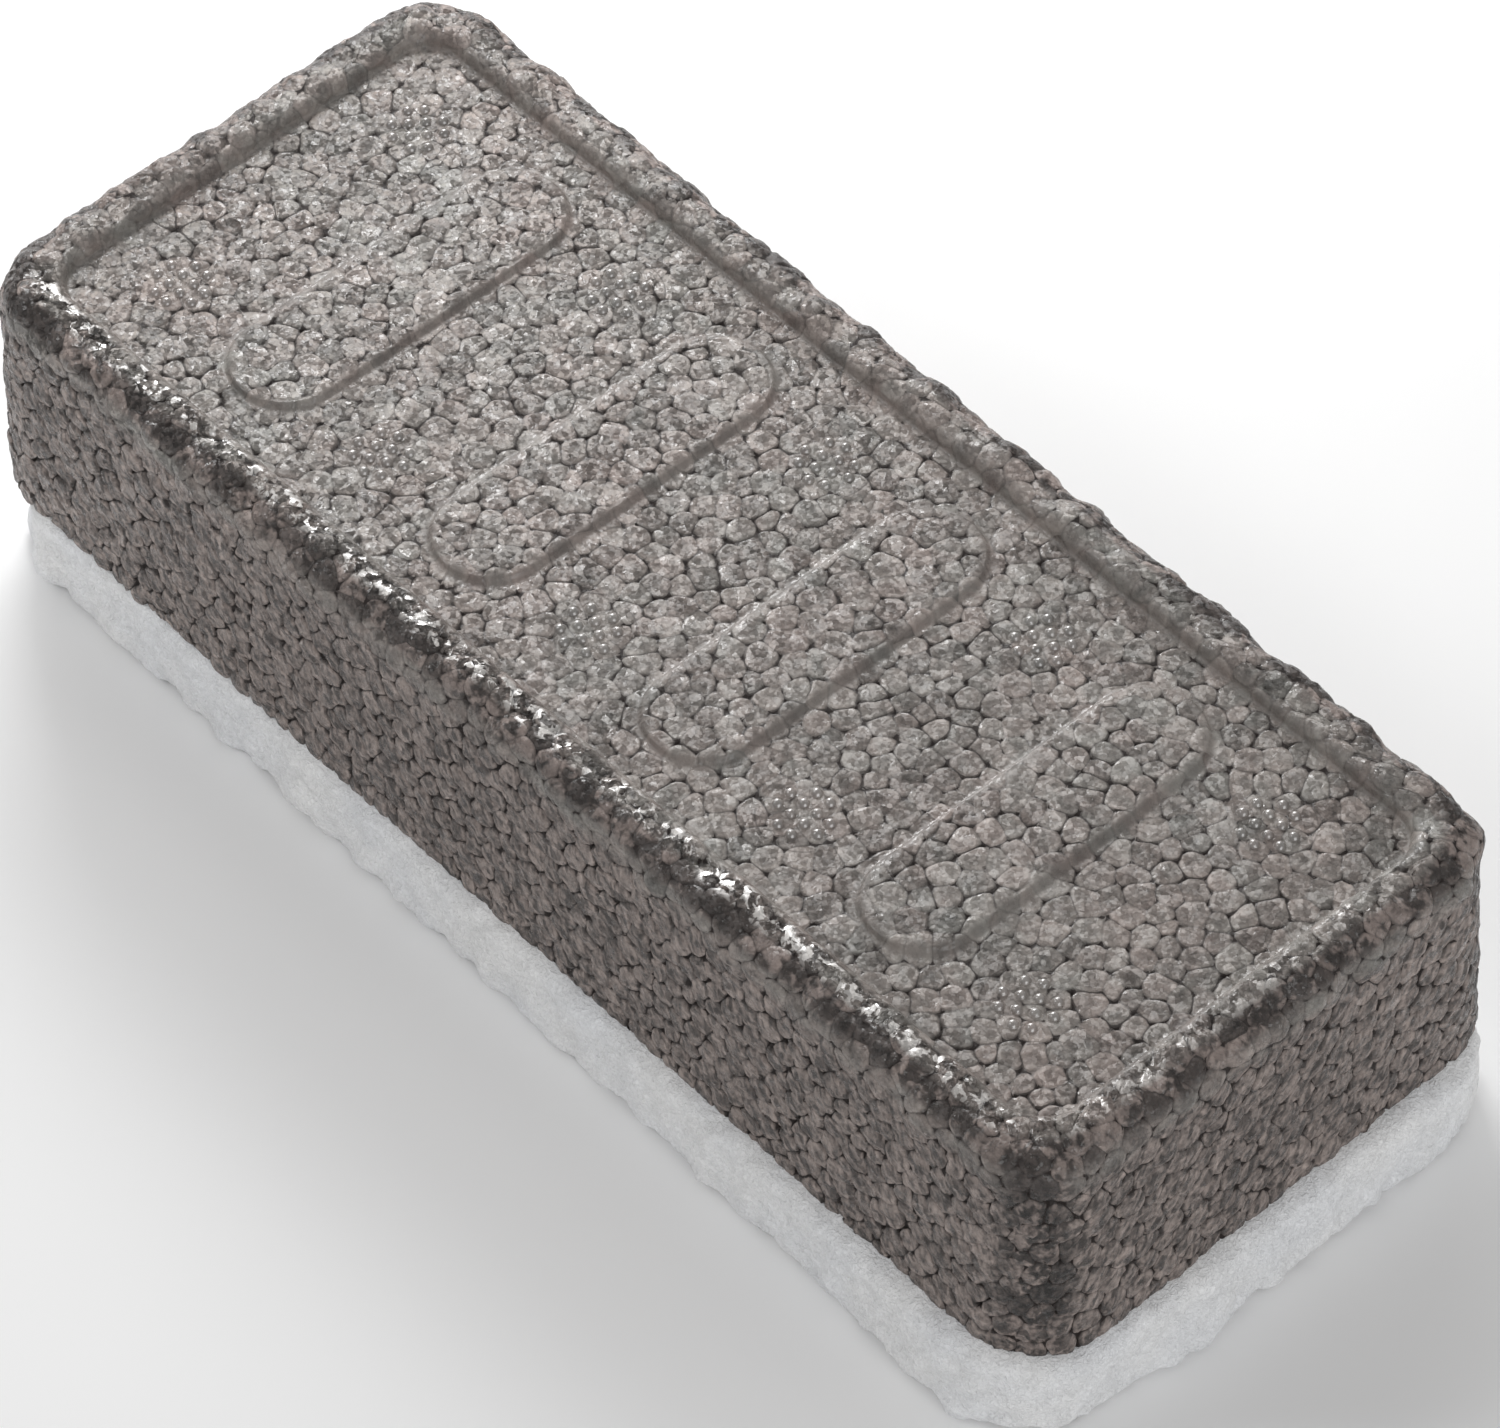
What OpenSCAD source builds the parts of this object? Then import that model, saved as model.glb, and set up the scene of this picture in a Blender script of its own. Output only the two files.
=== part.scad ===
// Dry-erase block eraser: a moulded bead-foam grip with a thick felt pad bonded under it.
// Millimetres. The origin is the middle of the felt's underside, +X runs along the block
// and +Z points up, out through the top of the grip.

/* [Foam grip] */
// Length of the grip at its base
grip_len = 130; // [90:1:180]
// Width of the grip at its base
grip_wid = 53; // [42:1:80]
// Height of the moulded foam
grip_high = 23.2; // [15:0.1:40]
// Radius of the upright corners at the base
corner_r = 7.4; // [6.5:0.1:12]
// Draft of the side walls, in degrees
draft = 2.2; // [0:0.1:4]
// Rounding of the outer top edge
edge_r = 2.9; // [1:0.1:3.5]

/* [Rim and recessed panel] */
// Width of the raised rim round the top
rim_wid = 4.9; // [4:0.1:7]
// Depth of the panel below the rim
recess_deep = 1.4; // [0.8:0.1:2.5]
// Corner radius of the recess
recess_r = 3.2; // [2:0.1:6]
// Rounding of the rim's inner edge
rim_inner_r = 1.2; // [0.2:0.1:2]

/* [Steam vent marks] */
// Spacing of the vents along the block
vent_pitch_x = 25.4; // [20:0.1:40]
// Spacing of the vents across the block
vent_pitch_y = 25.8; // [15:0.1:40]
// How far the vent field sits off the middle of the block
vent_shift_x = -1.1; // [-3:0.1:3]
// Least distance from the middle of a vent to the recess wall
vent_margin = 6; // [4:0.5:8]
// Spacing of the pips that one vent leaves
pip_pitch = 1.45; // [1.2:0.05:2]
// Diameter of a pip
pip_d = 0.9; // [0.6:0.05:1.1]
// Height of a pip above the panel
pip_high = 0.4; // [0.1:0.05:0.5]

/* [Raised grip bars] */
// Width of a bar
bar_wid = 10; // [6:0.5:16]
// Distance from the end of a bar to the recess wall
bar_gap = 3.7; // [2:0.1:8]
// Height of a bar above the panel
bar_high = 0.5; // [0.2:0.1:1]

/* [Felt pad and adhesive] */
// Thickness of the felt
felt_thick = 8.2; // [4:0.1:15]
// How far the felt stands out past the base of the grip, all round
felt_proud = 0.3; // [0:0.1:2]
// Corner radius of the felt
felt_r = 6.5; // [3:0.1:12]
// Rounding of the felt's upper and lower edges
felt_edge_r = 0.6; // [0.2:0.1:1.5]
// Thickness of the adhesive film
glue_thick = 0.3; // [0.1:0.1:0.6]
// How far the adhesive stops short of the base of the grip, all round
glue_inset = 0.8; // [0.4:0.1:3]

/* [Hidden] */
$fn = 48;
ARC_STEPS = 8;

// Levels, from the board side up
glue_z = felt_thick;
grip_z = glue_z + glue_thick;
top_z = grip_z + grip_high;
panel_z = top_z - recess_deep;

// The drafted walls lean in, so the top is smaller than the base
lean = grip_high * tan(draft);
top_len = grip_len - 2 * lean;
top_wid = grip_wid - 2 * lean;

// The recess leaves the rim standing, and its wall leans out slightly
panel_len = top_len - 2 * rim_wid;
panel_wid = top_wid - 2 * rim_wid;
wall_lean = 0.15;
inner_r = min(rim_inner_r, recess_deep - 0.1, rim_wid - edge_r - wall_lean - 0.1);

// Vents fill the panel, and the bars stand midway between their columns
vent_cols = floor((panel_len - 2 * (vent_margin + abs(vent_shift_x))) / vent_pitch_x) + 1;
vent_rows = floor((panel_wid - 2 * vent_margin) / vent_pitch_y) + 1;
bar_len = panel_wid - 2 * bar_gap;

// Rows of pips in one vent: how many stand in each row
PIP_ROWS = [2, 4, 4, 2];
// Pips and bars reach this far down into the panel, so that they join it
ROOT = 0.5;

function arc(cx, cy, r, from, to) = [
    for (i = [0:ARC_STEPS]) let (a = from + (to - from) * i / ARC_STEPS)
        [cx + r * cos(a), cy + r * sin(a)]
];

function centred(i, count) = i - (count - 1) / 2;

// Sweeps a half section round a rounded rectangle. The section's x runs outwards from
// the centre of a corner, where x = r is the outline, and low and high are its heights
// at x = 0.
module swept(len, wid, r, section, low, high) {
    sx = len / 2 - r;
    sy = wid / 2 - r;
    for (turn = [0:3]) {
        a = 90 * turn;
        across = turn % 2 == 0;
        translate([sign(cos(a + 45)) * sx, sign(sin(a + 45)) * sy, 0])
            rotate(a) rotate_extrude(angle = 90) polygon(section);
        rotate(a) translate([across ? sx : sy, 0, 0]) rotate([90, 0, 0])
            linear_extrude(2 * (across ? sy : sx), center = true) polygon(section);
    }
    translate([-sx, -sy, low]) cube([2 * sx, 2 * sy, high - low]);
}

// The grip's outer shape: drafted walls and a rounded top edge
module grip_blank() {
    rise = grip_high - edge_r;
    edge_x = corner_r - (edge_r + sin(draft) * rise) / cos(draft);
    section = concat(
        [[0, 0], [corner_r, 0]],
        arc(edge_x, rise, edge_r, draft, 90),
        [[0, grip_high]]
    );
    translate([0, 0, grip_z]) swept(grip_len, grip_wid, corner_r, section, 0, grip_high);
}

// What the recess takes away, with the rim's inner edge rounded over
module recess_cut() {
    spare = 1;
    edge_x = recess_r + wall_lean + inner_r;
    section = concat(
        [[0, 0], [recess_r, 0]],
        arc(edge_x, recess_deep - inner_r, inner_r, 180, 90),
        [[edge_x, recess_deep + spare], [0, recess_deep + spare]]
    );
    translate([0, 0, panel_z])
        swept(panel_len, panel_wid, recess_r, section, 0, recess_deep + spare);
}

// The pips that one vent leaves in the foam
module vent_mark() {
    for (row = [0:len(PIP_ROWS) - 1], k = [0:PIP_ROWS[row] - 1])
        translate([centred(k, PIP_ROWS[row]), centred(row, len(PIP_ROWS)), 0] * pip_pitch
            - [0, 0, ROOT]) cylinder(h = ROOT + pip_high, d = pip_d, $fn = 16);
}

module vent_field() {
    for (col = [0:vent_cols - 1], row = [0:vent_rows - 1])
        translate([
            vent_shift_x + centred(col, vent_cols) * vent_pitch_x,
            centred(row, vent_rows) * vent_pitch_y,
            panel_z
        ]) rotate(31 * col + 53 * row) vent_mark();
}

// One raised bar with round ends, lying across the block
module grip_bar() {
    straight = bar_len - bar_wid;
    translate([0, 0, -ROOT]) linear_extrude(ROOT + bar_high) union() {
        square([bar_wid, straight], center = true);
        for (end = [-1, 1]) translate([0, end * straight / 2]) circle(d = bar_wid);
    }
}

module foam_body() {
    color("#8a827d") {
        difference() {
            grip_blank();
            recess_cut();
        }
        vent_field();
        for (i = [0:1:vent_cols - 2])
            translate([
                vent_shift_x + centred(i, vent_cols - 1) * vent_pitch_x, 0, panel_z
            ]) grip_bar();
    }
}

module adhesive_layer() {
    glue_r = corner_r - glue_inset;
    section = [[0, 0], [glue_r, 0], [glue_r, glue_thick], [0, glue_thick]];
    color("#d9cfae") translate([0, 0, glue_z]) swept(
        grip_len - 2 * glue_inset, grip_wid - 2 * glue_inset, glue_r, section, 0, glue_thick
    );
}

module felt_pad() {
    edge_x = felt_r - felt_edge_r;
    section = concat(
        [[0, 0]],
        arc(edge_x, felt_edge_r, felt_edge_r, -90, 0),
        arc(edge_x, felt_thick - felt_edge_r, felt_edge_r, 0, 90),
        [[0, felt_thick]]
    );
    color("#ececea") swept(
        grip_len + 2 * felt_proud, grip_wid + 2 * felt_proud, felt_r, section, 0, felt_thick
    );
}

foam_body();
adhesive_layer();
felt_pad();
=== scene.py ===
"""Dry-erase block eraser: a grip moulded from foam beads, a hot-melt film and a felt pad.

Shapes are worked out in millimetres, in the frame's own axes, and turned into metres when
a mesh is made. The grip's skin is built smooth, then cut along the outlines of its beads,
so that each bead is a patch of real geometry with a crevice round it.
"""

import math

import bpy
import numpy as np
from mathutils import Matrix, Vector, geometry, kdtree


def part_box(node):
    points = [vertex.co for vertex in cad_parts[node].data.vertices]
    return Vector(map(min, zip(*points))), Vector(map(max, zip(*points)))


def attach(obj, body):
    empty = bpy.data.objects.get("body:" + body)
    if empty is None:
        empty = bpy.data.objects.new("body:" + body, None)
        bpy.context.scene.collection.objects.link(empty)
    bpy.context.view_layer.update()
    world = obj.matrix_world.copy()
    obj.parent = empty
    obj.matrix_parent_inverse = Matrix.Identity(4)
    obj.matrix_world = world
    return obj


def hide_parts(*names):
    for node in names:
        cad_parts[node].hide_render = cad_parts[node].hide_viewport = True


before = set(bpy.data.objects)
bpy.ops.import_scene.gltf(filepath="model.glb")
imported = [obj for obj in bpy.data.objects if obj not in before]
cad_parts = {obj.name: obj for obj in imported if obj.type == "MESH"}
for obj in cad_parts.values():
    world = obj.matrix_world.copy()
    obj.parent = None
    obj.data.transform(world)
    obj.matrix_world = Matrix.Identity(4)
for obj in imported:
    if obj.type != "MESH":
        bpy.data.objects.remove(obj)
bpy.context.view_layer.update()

MM = 0.001
TAU = 2 * math.pi

# ---------------------------------------------------------------- sizes from the frame
GRIP_LOW, GRIP_HIGH = (np.array(corner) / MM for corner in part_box("foam_body"))
FELT_HIGH = np.array(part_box("felt_pad")[1]) / MM
GRIP_HALF_LEN, GRIP_HALF_WID = GRIP_HIGH[0], GRIP_HIGH[1]
BASE_Z, TOP_Z = GRIP_LOW[2], GRIP_HIGH[2]

# The grip's own sizes, as the design has them
CORNER_R = 7.4
LEAN = math.tan(math.radians(2.2))  # how far the walls lean in per millimetre of height
EDGE_R = 2.9
RIM_WID = 4.9
RECESS_DEEP = 1.4
RECESS_R = 3.2
RIM_INNER_R = 1.2
WALL_LEAN = 0.15
VENT_PITCH_X, VENT_PITCH_Y = 25.4, 25.8
VENT_SHIFT_X = -1.1
VENT_COLS, VENT_ROWS = 5, 2
PIP_ROWS = (2, 4, 4, 2)
PIP_PITCH, PIP_R, PIP_HIGH = 1.45, 0.45, 0.4
BAR_WID, BAR_GAP, BAR_HIGH = 10.0, 3.7, 0.5

PANEL_Z = TOP_Z - RECESS_DEEP
TOP_LEAN = (TOP_Z - BASE_Z) * LEAN
PANEL_HALF_LEN = GRIP_HALF_LEN - TOP_LEAN - RIM_WID
PANEL_HALF_WID = GRIP_HALF_WID - TOP_LEAN - RIM_WID
BAR_HALF_STRAIGHT = PANEL_HALF_WID - BAR_GAP - BAR_WID / 2

# ------------------------------------------------------------------- sizes of the beads
SKIN_STEP = 0.55  # spacing of the smooth skin's points
BEAD_TRIES = 26000  # spots tried as the middle of a bead
BEAD_SPACING = 1.5  # least distance between the middles of two beads
BEAD_UNEVEN = 0.9  # how much the beads differ in size, in square millimetres
BEAD_WOBBLE = 0.07  # how far an outline strays from a straight edge
CREVICE_LINES = (0.1, 0.3)  # distances from an outline where the skin is cut again
VENT_CALM_R = 3.4  # the skin is calmer this near the middle of a vent
BEAD_NEIGHBOURS = 9
SLANT = np.array([-0.52, 0.52, 0.68])  # the way the walls' streaks and roughness slant, as a unit vector


# ============================================================================ shape maths
def swell(points, wavelength, seed, waves=14):
    """Smooth noise of about this wavelength at each point, with a spread of about 1."""
    rng = np.random.default_rng(seed)
    heading = rng.normal(size=(waves, 3))
    heading /= np.linalg.norm(heading, axis=1)[:, None]
    heading *= TAU / wavelength * rng.uniform(0.7, 1.4, waves)[:, None]
    phase = rng.uniform(0, TAU, waves)
    return np.sin(points @ heading.T + phase).sum(1) / math.sqrt(waves / 2)


def smooth_step(low, high, value):
    """0 below low, 1 above high and a soft slope between them."""
    t = np.clip((value - low) / (high - low), 0, 1)
    return t * t * (3 - 2 * t)


def centred(count):
    """The places of count things in a row with a spacing of 1, centred on 0."""
    return np.arange(count) - (count - 1) / 2


def round_oblong(half_len, half_wid, radius, steps):
    """Points round an oblong with round corners. steps are the numbers of points along a
    corner, a long side and a short side, so that outlines with equal steps match."""
    in_corner, along, across = steps
    arcs = []
    for turn in range(4):
        angle = math.pi / 2 * (turn + np.linspace(0, 1, in_corner))
        middle = math.pi / 2 * (turn + 0.5)
        x = math.copysign(half_len - radius, math.cos(middle)) + radius * np.cos(angle)
        y = math.copysign(half_wid - radius, math.sin(middle)) + radius * np.sin(angle)
        arcs.append(np.stack([x, y], 1))
    points = []
    for turn in range(4):
        start, end = arcs[turn][-1], arcs[(turn + 1) % 4][0]
        count = along if turn % 2 == 0 else across
        share = (np.arange(1, count + 1) / (count + 1))[:, None]
        points += [arcs[turn], start + (end - start) * share]
    return np.concatenate(points)


def steps_for(half_len, half_wid, radius, step):
    """How many points round_oblong needs along each stretch for this spacing."""
    return (
        round(math.pi / 2 * radius / step) + 1,
        round(2 * (half_len - radius) / step) - 1,
        round(2 * (half_wid - radius) / step) - 1,
    )


def lofted(rings):
    """Triangles between successive rings of points, which all have the same count."""
    count = len(rings[0])
    here = np.arange(count)
    after = (here + 1) % count
    faces = []
    for level in range(len(rings) - 1):
        low, high = level * count, (level + 1) * count
        faces.append(np.stack([low + here, low + after, high + after], 1))
        faces.append(np.stack([low + here, high + after, high + here], 1))
    return np.concatenate(rings), np.concatenate(faces)


def tree_of(points):
    tree = kdtree.KDTree(len(points))
    for i, p in enumerate(points):
        tree.insert(p, i)
    tree.balance()
    return tree


def away_from(points, others, distance):
    """The points that are at least this far from all the others."""
    flat = np.c_[others, np.zeros(len(others))]
    tree = tree_of(flat)
    return points[[tree.find((x, y, 0))[2] > distance for x, y in points]]


def lattice(half_len, half_wid, step):
    """A triangular grid of points over a rectangle."""
    rows = []
    for i, y in enumerate(np.arange(-half_wid, half_wid, step * math.sqrt(3) / 2)):
        x = np.arange(-half_len + step / 2 * (i % 2), half_len, step)
        rows.append(np.stack([x, np.full(len(x), y)], 1))
    return np.concatenate(rows)


def inside_oblong(points, half_len, half_wid, radius):
    """How far each point is inside an oblong with round corners. It is negative outside."""
    reach = np.abs(points) - (np.array([half_len, half_wid]) - radius)
    outside = np.linalg.norm(np.maximum(reach, 0), axis=1)
    return radius - outside - np.minimum(reach.max(1), 0)


def sheet_in(outline, inner):
    """Triangles that fill an outline, through the inner points too. The outline's points
    come first, in their own order."""
    points = [Vector(p) for p in np.concatenate([outline, inner])]
    count = len(outline)
    edges = [(i, (i + 1) % count) for i in range(count)]
    _, _, faces, was, _, _ = geometry.delaunay_2d_cdt(points, edges, [], 0, 1e-5)
    back = np.array([origin[0] for origin in was])
    return back[np.array([face[:] for face in faces])]


def normals_of(points, faces):
    """The unit normal at each point, from the faces round it."""
    a, b, c = (points[faces[:, k]] for k in range(3))
    across = np.cross(b - a, c - a)
    total = np.zeros_like(points)
    for k in range(3):
        np.add.at(total, faces[:, k], across)
    return total / np.maximum(np.linalg.norm(total, axis=1), 1e-12)[:, None]


# ========================================================================= the grip's skin
def vent_middles():
    """The middle of each steam vent, and how far its pips are turned."""
    return [
        (VENT_SHIFT_X + x * VENT_PITCH_X, y * VENT_PITCH_Y, math.radians(31 * col + 53 * row))
        for col, x in enumerate(centred(VENT_COLS))
        for row, y in enumerate(centred(VENT_ROWS))
    ]


def pip_middles():
    """The middle of every pip of every vent."""
    found = []
    for x, y, turn in vent_middles():
        for row, count in zip(centred(len(PIP_ROWS)), PIP_ROWS):
            for across in centred(count) * PIP_PITCH:
                up = row * PIP_PITCH
                found.append((
                    x + across * math.cos(turn) - up * math.sin(turn),
                    y + across * math.sin(turn) + up * math.cos(turn),
                ))
    return np.array(found)


def bar_middles():
    return VENT_SHIFT_X + centred(VENT_COLS - 1) * VENT_PITCH_X


def bar_distance(points):
    """How far each point is outside the nearest raised bar. It is negative inside one."""
    x = np.abs(points[:, 0, None] - bar_middles()).min(1)
    y = np.maximum(np.abs(points[:, 1]) - BAR_HALF_STRAIGHT, 0)
    return np.hypot(x, y) - BAR_WID / 2


def bar_outlines(step):
    """Points along the foot, slope and brow of each bar's wall."""
    found = []
    for offset in (-0.2, -0.07, 0.07, 0.2):
        radius = BAR_WID / 2 + offset
        half = BAR_HALF_STRAIGHT + radius
        steps = steps_for(radius, half, radius * 0.999, step)
        loop = round_oblong(radius, half, radius * 0.999, (steps[0], 0, steps[2]))
        found += [loop + (x, 0) for x in bar_middles()]
    return np.concatenate(found)


def pip_rings():
    """Points on and round each pip, fine enough to hold its dome."""
    found = []
    for share, count in ((0, 1), (0.4, 6), (0.75, 9), (0.96, 12), (1.12, 12), (1.45, 12)):
        radius = share * PIP_R
        turn = TAU * np.arange(count) / count
        ring = radius * np.stack([np.cos(turn), np.sin(turn)], 1)
        found.append((pip_middles()[:, None] + ring).reshape(-1, 2))
    return np.concatenate(found)


def from_nearest_pip(points):
    """The way from the middle of the nearest pip to each point, along the panel."""
    middles = pip_middles()
    tree = tree_of(np.c_[middles, np.zeros(len(middles))])
    return points[:, :2] - middles[[tree.find((p[0], p[1], 0))[1] for p in points]]


def pip_distance(points):
    return np.linalg.norm(from_nearest_pip(points), axis=1)


def panel_height(points):
    """The height of the panel at each point, with its bars and pips."""
    bar = BAR_HIGH * smooth_step(0.2, -0.2, bar_distance(points))
    dome = np.sqrt(np.clip(1 - (pip_distance(points) / PIP_R) ** 2, 0, 1))
    return PANEL_Z + bar + PIP_HIGH * dome


def grip_levels():
    """The grip's section, from the base over the rim to the foot of the recess. Each level
    gives half the length and width, the corner radius, and the height."""
    high = TOP_Z - BASE_Z
    rise = high - EDGE_R
    slope = math.atan(LEAN)
    levels = []

    def outer(radius, z):
        grow = radius - CORNER_R
        levels.append((GRIP_HALF_LEN + grow, GRIP_HALF_WID + grow, radius, BASE_Z + z))

    def inner(grow, z):
        levels.append((PANEL_HALF_LEN + grow, PANEL_HALF_WID + grow, RECESS_R + grow, z))

    edge_x = CORNER_R - (EDGE_R + math.sin(slope) * rise) / math.cos(slope)
    wall_top = rise + EDGE_R * math.sin(slope)
    outer(CORNER_R - 1.5, 0)
    outer(CORNER_R - 0.5, 0)
    for z in np.linspace(0, wall_top, round(wall_top / SKIN_STEP))[:-1]:
        outer(CORNER_R - z * LEAN, z)
    for angle in np.linspace(slope, math.pi / 2, round(EDGE_R * math.pi / 2 / 0.5)):
        outer(edge_x + EDGE_R * math.cos(angle), rise + EDGE_R * math.sin(angle))
    brow = WALL_LEAN + RIM_INNER_R
    for angle in np.linspace(math.pi / 2, math.pi, 5):
        inner(brow + RIM_INNER_R * math.cos(angle),
              TOP_Z - RIM_INNER_R + RIM_INNER_R * math.sin(angle))
    inner(0, PANEL_Z)
    return levels


def grip_skin():
    """The smooth skin: wall, rim and recess as lofted rings, then the panel and the base."""
    steps = steps_for(GRIP_HALF_LEN, GRIP_HALF_WID, CORNER_R, SKIN_STEP)
    rings = []
    for half_len, half_wid, radius, z in grip_levels():
        flat = round_oblong(half_len, half_wid, radius, steps)
        rings.append(np.c_[flat, np.full(len(flat), z)])
    points, faces = lofted(rings)
    count = len(rings[0])

    outline = rings[-1][:, :2]
    bars = bar_outlines(0.42)
    pips = pip_rings()
    grid = lattice(PANEL_HALF_LEN, PANEL_HALF_WID, SKIN_STEP)
    depth = inside_oblong(grid, PANEL_HALF_LEN, PANEL_HALF_WID, RECESS_R)
    grid = grid[depth > 0.4 * SKIN_STEP]
    grid = away_from(grid, np.concatenate([bars, pips]), 0.3)
    inner = np.concatenate([grid, bars, pips])
    fill = sheet_in(outline, inner)
    fill = np.where(fill < count, fill + len(points) - count, fill - count + len(points))
    points = np.concatenate([points, np.c_[inner, panel_height(inner)]])

    middle = len(points)
    points = np.concatenate([points, [[0, 0, BASE_Z]]])
    here = np.arange(count)
    base = np.stack([(here + 1) % count, here, np.full(count, middle)], 1)
    return points, np.concatenate([faces, fill, base])


# =============================================================================== the beads
class Beads:
    """Foam beads that meet along flat faces, as bubbles do. Each has a middle and a pull,
    which makes it larger or smaller than its neighbours."""

    def __init__(self, points, faces, seed=11):
        rng = np.random.default_rng(seed)
        a, b, c = (points[faces[:, k]] for k in range(3))
        area = np.linalg.norm(np.cross(b - a, c - a), axis=1)
        pick = rng.choice(len(faces), BEAD_TRIES, p=area / area.sum())
        u, v = np.sqrt(rng.random(len(pick))), rng.random(len(pick))
        spots = (
            (1 - u)[:, None] * a[pick]
            + (u * (1 - v))[:, None] * b[pick]
            + (u * v)[:, None] * c[pick]
        )
        tree = tree_of(spots)
        free = np.ones(len(spots), bool)
        chosen = []
        for i, spot in enumerate(spots):
            if free[i]:
                chosen.append(i)
                reach = BEAD_SPACING * rng.uniform(0.85, 1.2)
                for _, j, _ in tree.find_range(spot, reach):
                    free[j] = False
        self.middle = spots[chosen]
        self.pull = BEAD_UNEVEN * rng.uniform(-0.5, 0.5, len(chosen))
        for _ in range(2):
            self.relax(points)

    def relax(self, points):
        """Moves each bead to the middle of its own stretch of skin."""
        own = self.nearest(points)[0][:, 0]
        count = np.bincount(own, minlength=len(self.middle))
        for k in range(3):
            total = np.bincount(own, points[:, k], len(self.middle))
            self.middle[:, k] = np.where(
                count > 0, total / np.maximum(count, 1), self.middle[:, k])

    def wobbled(self, points):
        shift = [swell(points, 1.9, 70 + k) for k in range(3)]
        return points + BEAD_WOBBLE * np.stack(shift, 1)

    def gap(self, where, bead):
        """How far a place is from a bead, in square millimetres less the bead's pull."""
        return ((where - self.middle[bead]) ** 2).sum(-1) - self.pull[bead]

    def nearest(self, points):
        """The nearest few beads of each point, the one it is on first, and their gaps."""
        where = self.wobbled(points)
        tree = tree_of(self.middle)
        found = np.array([
            [hit[1] for hit in tree.find_n(spot, BEAD_NEIGHBOURS)] for spot in where
        ])
        gaps = self.gap(where[:, None], found)
        order = np.argsort(gaps, axis=1)
        return np.take_along_axis(found, order, 1), np.take_along_axis(gaps, order, 1)

    def seams(self, points, sharpness=6.0):
        """How far each point is from its bead's outline, and a number from 0 to 1 for the
        stretch of outline it is nearest to. The softened minimum rounds the bead's corners,
        so the distance is below 0 where three beads meet."""
        found, gaps = self.nearest(points)
        own = self.middle[found[:, :1]]
        apart = np.linalg.norm(self.middle[found[:, 1:]] - own, axis=2)
        sides = (gaps[:, 1:] - gaps[:, :1]) / (2 * np.maximum(apart, 1e-6))
        away = -np.log(np.exp(-sharpness * sides).sum(1)) / sharpness
        across = found[np.arange(len(found)), 1 + sides.argmin(1)]
        pair = np.sort(np.stack([found[:, 0], across], 1), axis=1)
        luck = np.abs(np.modf(np.sin(pair @ (12.9898, 78.233)) * 43758.5453)[0])
        return np.stack([away, luck], 1)


def cut_faces(points, faces, owner, odd, crossing):
    """Cuts the faces in which one point differs from the other two. odd gives, for each
    face, that point's corner, or -1. crossing(a, b) gives the new points between points a
    and b. Returns the points, the faces and each face's owner for its own half."""
    cut = np.flatnonzero(odd >= 0)
    corner = odd[cut]
    tip = faces[cut, corner]
    left = faces[cut, (corner + 1) % 3]
    right = faces[cut, (corner + 2) % 3]
    ends = np.concatenate([np.stack([tip, left], 1), np.stack([tip, right], 1)])
    ends.sort(axis=1)
    edges, place = np.unique(ends, axis=0, return_inverse=True)
    place = place.ravel() + len(points)
    fresh = crossing(edges[:, 0], edges[:, 1])
    on_left, on_right = place[: len(cut)], place[len(cut):]
    keep = np.flatnonzero(odd < 0)
    new = np.concatenate([
        faces[keep],
        np.stack([tip, on_left, on_right], 1),
        np.stack([on_left, left, right], 1),
        np.stack([on_left, right, on_right], 1),
    ])
    owners = [owner[keep], owner[cut], owner[cut], owner[cut]]
    return np.concatenate([points, fresh]), new, np.concatenate(owners)


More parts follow.
